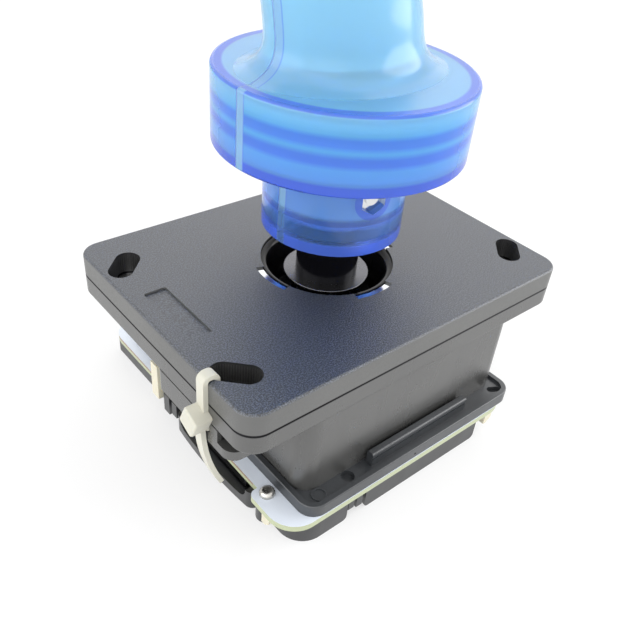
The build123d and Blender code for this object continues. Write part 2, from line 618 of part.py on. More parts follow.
# Square gate: the shaft meets its sides just past the limit of tilt
def gate_plate():
    body = rod(0, 0, GATE_BOT, CARRIER_BOT, CARRIER_R)
    body -= block(-GATE_HALF, GATE_HALF, -GATE_HALF, GATE_HALF, GATE_BOT - 1, CARRIER_BOT + 1, 3.0)
    for x, y in GATE_SCREWS:
        body -= rod(x, y, GATE_BOT - 1, CARRIER_BOT + 1, M2_R + FIT_GAP)
    return body


def centring_grommet():
    body = rod(0, 0, CARRIER_BOT, GROMMET_TOP, CARRIER_BORE)
    body -= rod(0, 0, CARRIER_BOT - 1, GROMMET_TOP + 1, SHAFT_R)
    groove = rod(0, 0, GROMMET_TOP - GROMMET_LIP, GROMMET_TOP + 1, CARRIER_BORE - 3.3)
    groove -= rod(0, 0, GROMMET_TOP - GROMMET_LIP - 1, GROMMET_TOP + 2, SHAFT_R + 3.0)
    return body - groove


def cross_bore():
    return Pos(0, 0, NUT_Z) * Rot(0, 0, NUT_DEG) * Rot(0, 90, 0) * Cylinder(M3_R + PIN_PLAY, 4 * COLLAR_R)


def shaft():
    body = rod(0, 0, SHAFT_BOT, SHAFT_TOP, SHAFT_R)
    body = chamfer(body.edges().group_by(Axis.Z)[-1], 0.8)
    body += rod(0, 0, SHAFT_BOT - SPIGOT_L, SHAFT_BOT, SPIGOT_R)
    return body - cross_bore()


def shaft_sleeve():
    body = rod(0, 0, WASHER_Z + WASHER_T, COLLAR_Z + COLLAR_WEB, SLEEVE_R)
    return body - rod(0, 0, WASHER_Z - 1, COLLAR_Z + COLLAR_WEB + 1, SHAFT_R)


def dust_washer():
    body = rod(0, 0, WASHER_Z, WASHER_Z + WASHER_T, WASHER_R)
    body -= rod(0, 0, WASHER_Z - 1, WASHER_Z + WASHER_T + 1, SHAFT_R)
    return fillet(body.edges().group_by(Axis.Z)[-1].sort_by(SortBy.RADIUS)[-1], 0.3)


def magnet_cup():
    body = rod(0, 0, CUP_BOT, SHAFT_BOT, SHAFT_R)
    body -= rod(0, 0, SHAFT_BOT - SPIGOT_L, SHAFT_BOT + 1, SPIGOT_R)
    body -= rod(0, 0, CUP_BOT - 1, CUP_BOT + MAGNET_T, MAGNET_R)
    return body


def magnet():
    return rod(0, 0, CUP_BOT, CUP_BOT + MAGNET_T, MAGNET_R)


# Handle: oval sections that flare onto the disc, lean forward, then straighten
# and close in a plain dome
def handle_section(z, inset):
    up = z - DISC_Z1
    u = min(max(up / LEAN_RUN, 0.0), 1.0)
    centre = -0.6 - LEAN * (1 - cos(pi * u)) / 2
    back = max(up - LEAN_RUN, 0.0) / (HANDLE_H - LEAN_RUN)
    centre += 2.5 * back * back
    flare = FLARE * exp(-up / FLARE_RUN)
    length = HALF_LENGTH + 2.0 * exp(-up / 12.0) + flare
    palm = min(max((up - PALM_UP) / (HANDLE_H - PALM_UP - PALM_DOWN), 0.0), 1.0)
    width = HALF_WIDTH + PALM * sin(pi * palm) ** 2 + flare
    close = 1.0
    if z > DOME_Z:
        close = sqrt(1 - ((z - DOME_Z) / (DOME_H + 0.4)) ** 2)
    return Pos(centre, 0, z) * Ellipse(length * close - inset, width * close - inset)


def handle(inset):
    low = [DISC_Z1 + up for up in (0, 0.8, 2.0, 4.0, 7.0)]
    step = (DOME_Z - 1.7 - low[-1]) / 11
    mid = [low[-1] + step * k for k in range(1, 12)]
    drops = (12.5, 8.5, 6.0, 4.4) if inset > 0 else (12.5, 8.5, 5.5, 3.0, 1.4, 0.5, 0.0)
    top = [HANDLE_TOP - drop for drop in drops]
    return loft([handle_section(z, inset) for z in low + mid + top])


def grip_shell():
    disc = rod(0, 0, DISC_Z0, DISC_Z1, DISC_R)
    disc = fillet(disc.edges().group_by(Axis.Z)[-1], 0.8)
    disc = fillet(disc.edges().group_by(Axis.Z)[0], 0.5)
    outer = rod(0, 0, COLLAR_Z, DISC_Z0 + 1, COLLAR_R) + disc + handle(0)
    outer -= rod(0, 0, COLLAR_Z + COLLAR_BAND, DISC_Z0 + DISC_FLOOR + 1, COLLAR_R - WALL)
    outer -= rod(0, 0, DISC_Z0 + DISC_FLOOR, DISC_Z1 - CEILING, DISC_R - WALL)
    outer -= rod(0, 0, DISC_Z1 - CEILING - 1, DISC_Z1, NECK_R)
    return outer - handle(WALL)


# The whole grip, hollow, with the webs, bands and bosses that show through it
def grip():
    body = grip_shell()
    web_z = COLLAR_Z + COLLAR_WEB
    body += rod(0, 0, web_z, web_z + WEB_T, COLLAR_R - 1)
    body += rod(0, 0, DISC_Z0, DISC_Z0 + DISC_FLOOR, COLLAR_R - 1)
    for k in range(2):
        z0 = DISC_Z0 + BAND_UP + k * BAND_STEP
        body += rod(0, 0, z0, z0 + BAND_T, DISC_R - 1) - rod(0, 0, z0 - 1, z0 + BAND_T + 1, DISC_R - WALL - BAND_DEEP)
    for x, y in GRIP_POSTS:
        body += rod(x, y, DISC_Z0 + 1, DISC_Z0 + GRIP_POST_TOP, GRIP_POST_R)
    wide = 2 * DISC_R
    body += handle(0) & block(-wide, wide, -wide, wide, DISC_Z1, DISC_Z1 + HANDLE_WEB)
    turn = Rot(0, 0, NUT_DEG)
    for seat, side in ((NUT_SEAT, 1), (HEAD_SEAT, -1)):
        length = COLLAR_R - 0.6 - (seat - NUT_BOSS_L)
        mid = side * (seat - NUT_BOSS_L + length / 2)
        body += turn * Pos(mid, 0, NUT_Z) * Rot(0, 90, 0) * Cylinder(NUT_BOSS_R, length)
    body -= rod(0, 0, 0, web_z, SLEEVE_R + PRESS_GAP)
    body -= rod(0, 0, 0, SHAFT_TOP, SHAFT_R + PRESS_GAP)
    body -= cross_bore()
    hexagon = Pos(NUT_SEAT, 0, NUT_Z) * Rot(0, 90, 0) * RegularPolygon(NUT_AF / 2 + PIN_PLAY, 6, major_radius=False)
    body -= turn * extrude(hexagon, COLLAR_R)
    head_l = COLLAR_R
    body -= turn * Pos(-HEAD_SEAT - head_l / 2, 0, NUT_Z) * Rot(0, 90, 0) * Cylinder(HEAD_R + HOLE_GAP, head_l)
    return body


# The grip is moulded in two halves that meet on an upright plane
def grip_half(side):
    far = 3 * DISC_R
    y0, y1 = (SEAM_GAP, far) if side > 0 else (-far, -SEAM_GAP)
    return grip() & Rot(0, 0, GRIP_TURN) * block(-far, far, y0, y1, 0, HANDLE_TOP + 10)


def cross_screw():
    head = Pos(-HEAD_SEAT - HEAD_T / 2, 0, 0) * Rot(0, 90, 0) * Cylinder(HEAD_R, HEAD_T)
    head -= Pos(-HEAD_SEAT - HEAD_T, 0, 0) * Rot(0, 90, 0) * extrude(
        RegularPolygon(KEY_AF / 2, 6, major_radius=False), 0.6 * HEAD_T)
    length = HEAD_SEAT + NUT_SEAT + NUT_T + 0.5
    shank = Pos(-HEAD_SEAT + length / 2, 0, 0) * Rot(0, 90, 0) * Cylinder(M3_R, length)
    return Rot(0, 0, NUT_DEG) * Pos(0, 0, NUT_Z) * (head + shank)


def cross_nut():
    body = extrude(RegularPolygon(NUT_AF / 2, 6, major_radius=False), NUT_T)
    body = body & Pos(0, 0, NUT_T / 2) * Sphere(0.5 * NUT_AF / cos(pi / 6) + 0.175)
    body -= rod(0, 0, -1, NUT_T + 1, M3_R)
    return Rot(0, 0, NUT_DEG) * Pos(NUT_SEAT, 0, NUT_Z) * Rot(0, 90, 0) * body


PARTS = {
    "top_plate": top_plate,
    "lock_ring": lock_ring,
    "housing": housing,
    "base_tray": base_tray,
    "control_board": control_board,
    "tilt_sensor": tilt_sensor,
    "board_chips": board_chips,
    "wire_header": wire_header,
    "lower_pan": lower_pan,
    "nylon_clips": nylon_clips,
    "cable_tie": cable_tie,
    "plate_screws": lambda: screws(PLATE_SCREWS, DECK_Z, PLATE_SCREW_L),
    "carrier_screws": lambda: screws(CARRIER_SCREWS, DECK_Z - EAR_T, CARRIER_SCREW_L),
    "gate_screws": lambda: screws(GATE_SCREWS, GATE_BOT, GATE_SCREW_L, M2_R),
    "base_screws": lambda: screws(BASE_SCREWS, BASE_HEAD_Z, BASE_SCREW_L),
    "board_screws": lambda: screws(PCB_SCREWS, PCB_TOP, PCB_SCREW_L, M2_R, False),
    "gimbal_carrier": gimbal_carrier,
    "gate_plate": gate_plate,
    "centring_grommet": centring_grommet,
    "gimbal_ring": gimbal_ring,
    "pivot_pins": pivot_pins,
    "stick_hub": stick_hub,
    "shaft": shaft,
    "shaft_sleeve": shaft_sleeve,
    "dust_washer": dust_washer,
    "magnet_cup": magnet_cup,
    "magnet": magnet,
    "grip_half_front": lambda: grip_half(-1),
    "grip_half_rear": lambda: grip_half(1),
    "cross_screw": cross_screw,
    "cross_nut": cross_nut,
}

for name, make in PARTS.items():
    shape = make()
    export_step(shape, "parts/" + name + ".step")
    box = shape.bounding_box()
    print(name, [round(v, 2) for v in (box.min.X, box.min.Y, box.min.Z, box.max.X, box.max.Y, box.max.Z)],
          len(shape.solids()), round(shape.volume, 1))
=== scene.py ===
from math import cos, pi, radians, sin

import bpy
from mathutils import Matrix, Vector


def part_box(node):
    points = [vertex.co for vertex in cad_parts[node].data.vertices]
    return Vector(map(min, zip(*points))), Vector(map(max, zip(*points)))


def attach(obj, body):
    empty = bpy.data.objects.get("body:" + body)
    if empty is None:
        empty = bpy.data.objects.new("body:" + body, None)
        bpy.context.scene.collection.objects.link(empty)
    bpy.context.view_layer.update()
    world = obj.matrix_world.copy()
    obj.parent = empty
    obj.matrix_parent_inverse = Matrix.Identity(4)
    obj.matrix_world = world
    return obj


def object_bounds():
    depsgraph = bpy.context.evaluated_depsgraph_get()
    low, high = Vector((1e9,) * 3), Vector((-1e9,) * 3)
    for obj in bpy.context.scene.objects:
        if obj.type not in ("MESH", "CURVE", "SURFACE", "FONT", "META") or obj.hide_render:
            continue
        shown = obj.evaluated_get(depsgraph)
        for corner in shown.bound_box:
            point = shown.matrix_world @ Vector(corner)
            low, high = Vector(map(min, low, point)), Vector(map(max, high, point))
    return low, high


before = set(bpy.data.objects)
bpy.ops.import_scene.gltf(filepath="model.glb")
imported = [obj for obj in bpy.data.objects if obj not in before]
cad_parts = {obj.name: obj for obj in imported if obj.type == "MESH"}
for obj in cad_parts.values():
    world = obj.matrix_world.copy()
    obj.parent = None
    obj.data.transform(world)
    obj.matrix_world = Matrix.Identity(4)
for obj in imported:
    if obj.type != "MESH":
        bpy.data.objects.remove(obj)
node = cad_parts
cad_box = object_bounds()


# Lower pan
# The shallow cover under the board, moulded in black ABS with a satin skin.
# Four long screws pass up through it into the housing's posts.
def new_material(name):
    material = bpy.data.materials.new(name)
    material.use_nodes = True
    tree = material.node_tree
    return material, tree, tree.nodes["Principled BSDF"]


def add(tree, kind, **sockets):
    made = tree.nodes.new(kind)
    for name, value in sockets.items():
        made.inputs[name.replace("_", " ")].default_value = value
    return made


def object_noise(tree, scale, detail=3.0, stretch=(1.0, 1.0, 1.0)):
    place = tree.nodes.new("ShaderNodeTexCoord")
    mapping = add(tree, "ShaderNodeMapping", Scale=stretch)
    noise = add(tree, "ShaderNodeTexNoise", Scale=scale, Detail=detail)
    tree.links.new(place.outputs["Object"], mapping.inputs["Vector"])
    tree.links.new(mapping.outputs["Vector"], noise.inputs["Vector"])
    return noise.outputs["Fac"]


def ramp(tree, source, low, high, start=0.3, end=0.7):
    made = tree.nodes.new("ShaderNodeValToRGB")
    for stop, position, colour in zip(made.color_ramp.elements, (start, end), (low, high)):
        stop.position = position
        stop.color = (*colour, 1)
    tree.links.new(source, made.inputs["Fac"])
    return made.outputs["Color"]


def spread(tree, source, low, high, start=0.25, end=0.75):
    made = add(tree, "ShaderNodeMapRange", From_Min=start, From_Max=end, To_Min=low, To_Max=high)
    tree.links.new(source, made.inputs["Value"])
    return made.outputs["Result"]


def bump(tree, shader, height, distance):
    made = add(tree, "ShaderNodeBump", Strength=1.0, Distance=distance)
    tree.links.new(height, made.inputs["Height"])
    tree.links.new(made.outputs["Normal"], shader.inputs["Normal"])


def moulded(name, dark, light, roughness, specular=0.5, cloud=45.0, grain=1500.0, depth=0.000012):
    material, tree, shader = new_material(name)
    shader.inputs["Specular IOR Level"].default_value = specular
    clouds = object_noise(tree, cloud, detail=4.0)
    tree.links.new(ramp(tree, clouds, dark, light), shader.inputs["Base Color"])
    rubbed = roughness - 0.05
    dusty = roughness + 0.07
    scuffs = object_noise(tree, 5 * cloud, detail=5.0, stretch=(1.0, 1.0, 0.4))
    tree.links.new(spread(tree, scuffs, rubbed, dusty), shader.inputs["Roughness"])
    bump(tree, shader, object_noise(tree, grain, detail=2.0), depth)
    return material


def dress(name, material):
    mesh = node[name].data
    mesh.materials.clear()
    mesh.materials.append(material)


pan_black = moulded("pan_black", dark=(0.016, 0.017, 0.018), light=(0.030, 0.031, 0.033),
                    roughness=0.36, specular=0.8)
dress("lower_pan", pan_black)

# Control board
# A 1.6 mm glass-epoxy board with white solder mask on both faces and a bare,
# pale green edge, browned on the left where it was snapped out of its panel.
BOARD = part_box("control_board")
BOARD_FACE = (0.80, 0.86, 0.95)
BOARD_EDGE = (0.44, 0.48, 0.31)
BOARD_SNAP = (0.30, 0.22, 0.16)
SNAP_DEPTH = 0.0007
SNAP_FROM = 0.0160
SNAP_LEFT = 0.0028
FLAT_NORMAL = 0.5


def maths(tree, operation, *values):
    made = tree.nodes.new("ShaderNodeMath")
    made.operation = operation
    for socket, value in zip(made.inputs, values):
        if isinstance(value, (int, float)):
            socket.default_value = value
        else:
            tree.links.new(value, socket)
    return made.outputs["Value"]


def axes(tree, vector):
    made = tree.nodes.new("ShaderNodeSeparateXYZ")
    tree.links.new(vector, made.inputs["Vector"])
    return made.outputs


def flat_faces(tree, normal):
    steepness = maths(tree, "ABSOLUTE", axes(tree, normal)["Z"])
    return maths(tree, "GREATER_THAN", steepness, FLAT_NORMAL)


def mixed(tree, factor, first, second):
    made = tree.nodes.new("ShaderNodeMix")
    made.data_type = "RGBA"
    for name, value in (("Factor", factor), ("A", first), ("B", second)):
        if isinstance(value, tuple):
            made.inputs[name].default_value = (*value, 1)
        else:
            tree.links.new(value, made.inputs[name])
    return made.outputs["Result"]


board_mask, tree, shader = new_material("board_mask")
place = tree.nodes.new("ShaderNodeTexCoord")
where = axes(tree, place.outputs["Object"])
left_side = maths(tree, "LESS_THAN", where["X"], BOARD[0].x + SNAP_LEFT)
rear_part = maths(tree, "GREATER_THAN", where["Y"], BOARD[0].y + SNAP_FROM)
upper_part = maths(tree, "GREATER_THAN", where["Z"], BOARD[1].z - SNAP_DEPTH)
snapped = maths(tree, "MULTIPLY", maths(tree, "MULTIPLY", left_side, rear_part), upper_part)
edge_colour = mixed(tree, snapped, BOARD_EDGE, BOARD_SNAP)
board_colour = mixed(tree, flat_faces(tree, place.outputs["Normal"]), edge_colour, BOARD_FACE)
tree.links.new(board_colour, shader.inputs["Base Color"])
mask_gloss = spread(tree, object_noise(tree, scale=300.0), low=0.28, high=0.42)
tree.links.new(mask_gloss, shader.inputs["Roughness"])
dress("control_board", board_mask)

# Board parts
# The tilt sensor, two chips and the header for the wires, all in moulded black
# epoxy or plastic, soldered to the board.
chip_black = moulded("chip_black", dark=(0.012, 0.012, 0.013), light=(0.020, 0.020, 0.021), roughness=0.5)
dress("board_chips", chip_black)
dress("tilt_sensor", chip_black)
header_black = moulded("header_black", dark=(0.014, 0.014, 0.015), light=(0.024, 0.024, 0.025),
                       roughness=0.45)
dress("wire_header", header_black)


# Nylon clips
# Small moulded hooks of natural nylon. They snap over the board's edge and
# hold it to the pan.
def waxy(material, weight, radius):
    shader = material.node_tree.nodes["Principled BSDF"]
    shader.inputs["Subsurface Weight"].default_value = weight
    shader.inputs["Subsurface Radius"].default_value = radius


nylon = moulded("nylon", dark=(0.60, 0.56, 0.42), light=(0.72, 0.68, 0.54), roughness=0.38)
waxy(nylon, weight=0.2, radius=(0.002, 0.0015, 0.001))
dress("nylon_clips", nylon)

# Tray
# The flat tray closes the housing's open foot. Black ABS, raised rim, a rail
# on each long side, all moulded in one piece.
tray_black = moulded("tray_black", dark=(0.026, 0.029, 0.033), light=(0.044, 0.048, 0.053),
                     roughness=0.32, specular=0.9)
dress("base_tray", tray_black)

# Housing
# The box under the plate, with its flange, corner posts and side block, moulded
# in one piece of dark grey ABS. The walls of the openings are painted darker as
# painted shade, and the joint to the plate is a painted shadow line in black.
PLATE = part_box("top_plate")
SLOT_IN_X = 0.0060
SLOT_IN_Y = 0.0125
SLOT_AT = (PLATE[1].x - SLOT_IN_X, PLATE[1].y - SLOT_IN_Y, 0.0)
SLOT_REACH = 0.0056
HOLE_REACH = 0.0185
SEAM_HALF = 0.00030
SEAM_SOFT = 0.00008
SHADED = (0.014, 0.014, 0.015)


def within(tree, value, low, high, soft=0.00025):
    rise = spread(tree, value, 0.0, 1.0, low - soft, low + soft)
    fall = spread(tree, value, 0.0, 1.0, high + soft, high - soft)
    return maths(tree, "MULTIPLY", rise, fall)


def measured(tree, operation, vector, other=(0.0, 0.0, 0.0)):
    made = tree.nodes.new("ShaderNodeVectorMath")
    made.operation = operation
    tree.links.new(vector, made.inputs[0])
    if isinstance(other, tuple):
        made.inputs[1].default_value = other
    else:
        tree.links.new(other, made.inputs[1])
    return made.outputs["Value"]


# Painted shade: darkens the upright walls near the slots and the hole, and paints the joint under the
# plate as a black line for the shadow in the gap.
def paint_shade(tree, shader):
    place = tree.nodes.new("ShaderNodeTexCoord")
    where = axes(tree, place.outputs["Object"])
    folded = tree.nodes.new("ShaderNodeCombineXYZ")
    for name in ("X", "Y"):
        tree.links.new(maths(tree, "ABSOLUTE", where[name]), folded.inputs[name])
    from_slot = measured(tree, "DISTANCE", folded.outputs["Vector"], SLOT_AT)
    from_hole = measured(tree, "LENGTH", folded.outputs["Vector"])
    near = maths(tree, "MAXIMUM", maths(tree, "LESS_THAN", from_slot, SLOT_REACH),
                 maths(tree, "LESS_THAN", from_hole, HOLE_REACH))
    upright = maths(tree, "SUBTRACT", 1.0, flat_faces(tree, place.outputs["Normal"]))
    opening = maths(tree, "MULTIPLY", near, upright)
    seam = within(tree, where["Z"], PLATE[0].z - SEAM_HALF, PLATE[0].z + SEAM_HALF, SEAM_SOFT)
    surface = shader.inputs["Base Color"].links[0].from_socket
    shaded = mixed(tree, maths(tree, "MAXIMUM", opening, seam), surface, SHADED)
    tree.links.new(shaded, shader.inputs["Base Color"])
    # The painted shadow line at the joint is black metal, so it reflects almost nothing.
    tree.links.new(seam, shader.inputs["Metallic"])


housing_grey = moulded("housing_grey", dark=(0.046, 0.046, 0.045), light=(0.064, 0.064, 0.062),
                       roughness=0.26, specular=1.3, cloud=28.0)
paint_shade(housing_grey.node_tree, housing_grey.node_tree.nodes["Principled BSDF"])
dress("housing", housing_grey)

# Top plate
# The mounting plate, moulded in slate ABS. Its top has a spark-eroded grain,
# its edges are smooth, and four screws from below hold it to the flange.
GRAIN_LOW = (0.002, 0.004, 0.009)
GRAIN_HIGH = (0.074, 0.086, 0.112)
GRAIN_DEPTH = 0.00010
SIDE_DARK = (0.070, 0.071, 0.069)
SIDE_LIGHT = (0.096, 0.097, 0.094)
slate, tree, shader = new_material("slate")
shader.inputs["Specular IOR Level"].default_value = 1.1
geometry = tree.nodes.new("ShaderNodeNewGeometry")
upward = axes(tree, geometry.outputs["Normal"])["Z"]
top = ramp(tree, upward, (0, 0, 0), (1, 1, 1), start=0.30, end=0.60)
specks = object_noise(tree, scale=3300.0, detail=2.0)
grain_colour = ramp(tree, specks, GRAIN_LOW, GRAIN_HIGH, start=0.45, end=0.60)
side_colour = ramp(tree, object_noise(tree, scale=22.0), SIDE_DARK, SIDE_LIGHT)
tree.links.new(mixed(tree, top, side_colour, grain_colour), shader.inputs["Base Color"])
tree.links.new(spread(tree, specks, low=0.32, high=0.50), shader.inputs["Roughness"])
bump(tree, shader, maths(tree, "MULTIPLY", specks, top), GRAIN_DEPTH)
# Painted shade on the plate too: darker slot and hole walls, and a black painted shadow line at its joint
# to the flange.
paint_shade(tree, shader)
dress("top_plate", slate)

# Slot ribs
# Fine upright ribs on the walls of the four slots, left by the cutter of the
# mould, in the plate and in the housing's flange under it.
SLOT_LONG = 0.0108
SLOT_WIDE = 0.0057
SLOT_TURN = pi / 4
ARC_STEPS = 12
RIB_PITCH = 0.00055
RIB_RADIUS = 0.00010
RIB_SIDES = 8
RIB_INSET = 0.0006
FLANGE_HIGH = 0.0049


def slot_path(name, height):
    straight = (SLOT_LONG - SLOT_WIDE) / 2
    round_end = SLOT_WIDE / 2
    points = []
    sides = []
    for side_x, side_y in ((1, 1), (-1, 1), (-1, -1), (1, -1)):
        turned = Matrix.Rotation(-side_x * side_y * SLOT_TURN, 3, "Z")
        middle = Vector((side_x * SLOT_AT[0], side_y * SLOT_AT[1], height))
        first = len(points)
        for end, start_angle in ((1, -pi / 2), (-1, pi / 2)):
            for step in range(ARC_STEPS + 1):
                angle = start_angle + step / ARC_STEPS * pi
                spot = Vector((end * straight + round_end * cos(angle), round_end * sin(angle), 0))
                points.append(turned @ spot + middle)
        count = len(points) - first
        sides += [(first + k, first + (k + 1) % count) for k in range(count)]
    outline = bpy.data.meshes.new(name)
    outline.from_pydata(points, sides, [])
    return outline


def rib_nodes(material):
    tree = bpy.data.node_groups.new("upright_ribs", "GeometryNodeTree")
    tree.interface.new_socket("Outline", in_out="INPUT", socket_type="NodeSocketGeometry")
    for name in ("Pitch", "Height", "Radius"):
        tree.interface.new_socket(name, in_out="INPUT", socket_type="NodeSocketFloat")
    tree.interface.new_socket("Ribs", in_out="OUTPUT", socket_type="NodeSocketGeometry")
    start = tree.nodes.new("NodeGroupInput")
    end = tree.nodes.new("NodeGroupOutput")
    curve = tree.nodes.new("GeometryNodeMeshToCurve")
    spaced = tree.nodes.new("GeometryNodeResampleCurve")
    spaced.mode = "LENGTH"
    rod = add(tree, "GeometryNodeMeshCylinder", Vertices=RIB_SIDES)
    placed = tree.nodes.new("GeometryNodeInstanceOnPoints")
    real = tree.nodes.new("GeometryNodeRealizeInstances")
    finish = add(tree, "GeometryNodeSetMaterial", Material=material)
    joins = (
        (start, "Outline", curve, "Mesh"),
        (curve, "Curve", spaced, "Curve"),
        (start, "Pitch", spaced, "Length"),
        (start, "Height", rod, "Depth"),
        (start, "Radius", rod, "Radius"),
        (spaced, "Curve", placed, "Points"),
        (rod, "Mesh", placed, "Instance"),
        (placed, "Instances", real, "Geometry"),
        (real, "Geometry", finish, "Geometry"),
        (finish, "Geometry", end, "Ribs"),
    )
    for source, output, target, socket in joins:
        tree.links.new(source.outputs[output], target.inputs[socket])
    return tree


def grown(name, source, tree, sizes):
    seed = bpy.data.objects.new(name, source)
    bpy.context.scene.collection.objects.link(seed)
    modifier = seed.modifiers.new("nodes", "NODES")
    modifier.node_group = tree
    for item in tree.interface.items_tree:
        if item.item_type == "SOCKET" and item.in_out == "INPUT" and item.name in sizes:
            modifier[item.identifier] = sizes[item.name]
    depsgraph = bpy.context.evaluated_depsgraph_get()
    mesh = bpy.data.meshes.new_from_object(seed.evaluated_get(depsgraph))
    seed.modifiers.remove(modifier)
    seed.data = mesh
    mesh.name = name
    return seed


rib_grey = moulded("rib_grey", dark=(0.055, 0.055, 0.054), light=(0.075, 0.075, 0.073), roughness=0.34)
upright_ribs = rib_nodes(rib_grey)
for name, high, low, slot in (
        ("plate_slot_ribs", PLATE[1].z, PLATE[0].z, "plate"),
        ("flange_slot_ribs", PLATE[0].z, PLATE[0].z - FLANGE_HIGH, "housing_plastic")):
    sizes = {"Pitch": RIB_PITCH, "Height": high - low - 2 * RIB_INSET, "Radius": RIB_RADIUS}
    ribs = grown(name, slot_path(name + "_path", (high + low) / 2), upright_ribs, sizes)
    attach(ribs, "base")


# Steel ring
# A stamped, bright plated ring. It lies under the plate's lip and shows in the
# lip's four notches.
def metal(name, colour, smooth, dull, scale, detail=3.0, stretch=(1.0, 1.0, 1.0), patch_colour=None):
    material, tree, shader = new_material(name)
    shader.inputs["Metallic"].default_value = 1.0
    patches = object_noise(tree, scale, detail, stretch)
    tree.links.new(spread(tree, patches, smooth, dull), shader.inputs["Roughness"])
    if patch_colour is None:
        shader.inputs["Base Color"].default_value = (*colour, 1)
    else:
        tree.links.new(ramp(tree, patches, colour, patch_colour), shader.inputs["Base Color"])
    return material


bright = metal("bright_plate", colour=(0.74, 0.75, 0.76), smooth=0.08, dull=0.20, scale=400.0)
dress("lock_ring", bright)

# Tilt mechanism
# Glossy black acetal carrier, gimbal ring, hub and gate, with a black rubber
# ring that brings the stick back upright.
acetal = moulded("black_acetal", dark=(0.008, 0.008, 0.009), light=(0.014, 0.014, 0.016),
                 roughness=0.14, specular=0.15, cloud=60.0, grain=700.0, depth=0.000004)
for part in ("gimbal_carrier", "gimbal_ring", "stick_hub", "gate_plate"):
    dress(part, acetal)
rubber = moulded("grommet_rubber", dark=(0.018, 0.018, 0.018), light=(0.030, 0.030, 0.030), roughness=0.72)
dress("centring_grommet", rubber)

# Stick
# A ground steel shaft in a satin black sleeve, with a pale dust washer in the
# plate's hole and a magnet in an aluminium cup at the lower end.
steel = metal("ground_steel", colour=(0.50, 0.50, 0.49), patch_colour=(0.66, 0.66, 0.65),
              smooth=0.22, dull=0.38, scale=900.0, stretch=(0.15, 0.15, 1.0))
for part in ("shaft", "pivot_pins", "magnet"):
    dress(part, steel)
washer_steel = metal("washer_steel", colour=(0.14, 0.14, 0.15), smooth=0.22, dull=0.30, scale=500.0)
dress("dust_washer", washer_steel)
sleeve_black = moulded("sleeve_black", dark=(0.003, 0.003, 0.004), light=(0.005, 0.005, 0.007),
                       roughness=0.18, specular=0.35)
dress("shaft_sleeve", sleeve_black)
cup_aluminium = bright.copy()
cup_aluminium.name = "cup_aluminium"
dress("magnet_cup", cup_aluminium)

# Screws
# Zinc plated steel screws with pan heads. They hold the plate, the carrier, the
# gate, the pan and the board.
zinc = metal("zinc_plate", colour=(0.42, 0.41, 0.38), patch_colour=(0.68, 0.67, 0.64),
             smooth=0.20, dull=0.36, scale=700.0, detail=4.0)
for part in ("plate_screws", "carrier_screws", "gate_screws", "base_screws", "board_screws"):
    dress(part, zinc)

# Grip
# Two shells of milky sky-blue polycarbonate, joined on an upright plane. The
# outside is polished, and the inside is left frosted by the mould. Thick plastic
# shows violet, at the rings, the rim, the joint and the nut's boss.
SKY_BLUES = (
    (0.0, (0.22, 0.50, 1.0)),
    (0.56, (0.15, 0.40, 1.0)),
    (0.85, (0.14, 0.60, 1.0)),
    (1.0, (0.36, 0.78, 1.0)),
)
VIOLET_BLUE = (0.07, 0.15, 1.0)
FROSTED_BLUE = (0.80, 0.96, 1.0)
STRIP_BLUE = (0.38, 0.72, 1.0)
GRIP_DEEP = (0.40, 0.52, 0.995)
GRIP_DENSITY = 70.0
MILK = 0.32
THICK_MILK = 0.30
THICK_COLOUR = 0.75
RING_SHARE = 0.8
BOSS_SHARE = 0.8
LINE_SHARE = 0.6
COLLAR_SHARE = 0.6
FRONT_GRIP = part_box("grip_half_front")
SKIN = 0.001
SHARP = 0.0001
LINE_SHARP = 0.00005
OUTWARD = 0.0005
COLLAR_FOOT = FRONT_GRIP[0].z
COLLAR_INNER_R = 0.0158
COLLAR_OUTER_R = 0.0168
WINDOW_FOOT = COLLAR_FOOT + 0.0020
WINDOW_HEAD = COLLAR_FOOT + 0.0070
FOOT_RING_HEAD = COLLAR_FOOT + 0.0027
STEP_RING_FOOT = COLLAR_FOOT + 0.0064
STEP_RING_HEAD = COLLAR_FOOT + 0.0083
DISC_FOOT = COLLAR_FOOT + 0.0199
DISC_HEAD = DISC_FOOT + 0.0161
DISC_R = FRONT_GRIP[1].x
DISC_SKIN = 0.0006
DISC_RING_HIGH = 0.0023
DISC_RINGS_UP = (0.0060, 0.0096)
RING_SOFT = 0.0005
RIM_DEEP = 0.0005
WALL = 0.0024
HANDLE_HEAD = DISC_HEAD + 0.2
HANDLE_SOFT = 0.001
JOINT_TURN = radians(2.0)
STRIP_WIDE = 0.0021
STRIP_LINE = (0.0019, 0.0022)
STRIP_LINE_SOFT = 0.00008
JOINT_LINE = (-0.0002, 0.00015)
NUT_AIM = radians(-101.0)
NUT_OUT = 0.0163
NUT_AT = (NUT_OUT * cos(NUT_AIM), NUT_OUT * sin(NUT_AIM), COLLAR_FOOT + 0.0130)
NUT_BOSS_R = 0.0045

grip_blue, tree, shader = new_material("grip_blue")
shader.inputs["IOR"].default_value = 1.5
place = tree.nodes.new("ShaderNodeTexCoord")
height = axes(tree, place.outputs["Object"])["Z"]
level = tree.nodes.new("ShaderNodeVectorMath")
level.operation = "MULTIPLY"
level.inputs[1].default_value = (1, 1, 0)
tree.links.new(place.outputs["Object"], level.inputs[0])
radius = measured(tree, "LENGTH", level.outputs["Vector"])

